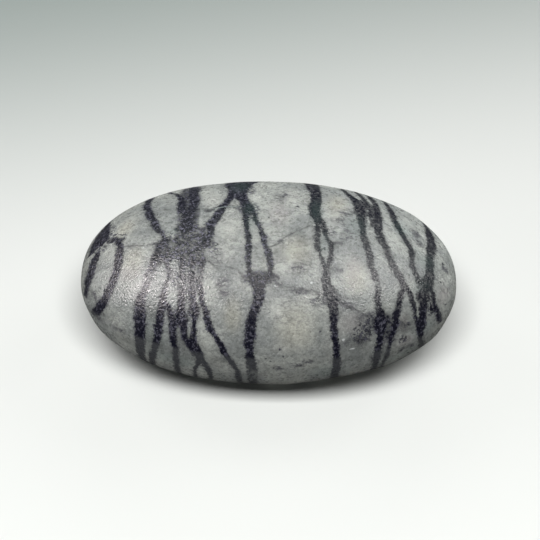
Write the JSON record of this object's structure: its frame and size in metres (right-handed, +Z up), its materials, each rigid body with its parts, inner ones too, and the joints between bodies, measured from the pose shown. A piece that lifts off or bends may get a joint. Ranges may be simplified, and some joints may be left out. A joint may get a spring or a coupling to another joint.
{
  "type": "pocket stone",
  "caption": "Smooth oval pebble that fits in the palm, slightly flattened, with a small flat on its underside to rest on.",
  "frame": {"origin": "centre of the outline at the level the stone rests on", "axes": "+X along the long axis towards the slightly broader end, +Y across it, +Z up through the thickness"},
  "size_m": [0.058, 0.039, 0.0233],
  "materials": {
    "stone": "honed grey stone with dark ragged veins"
  },
  "bodies": {
    "root": {"stone": "stone"}
  },
  "joints": []
}
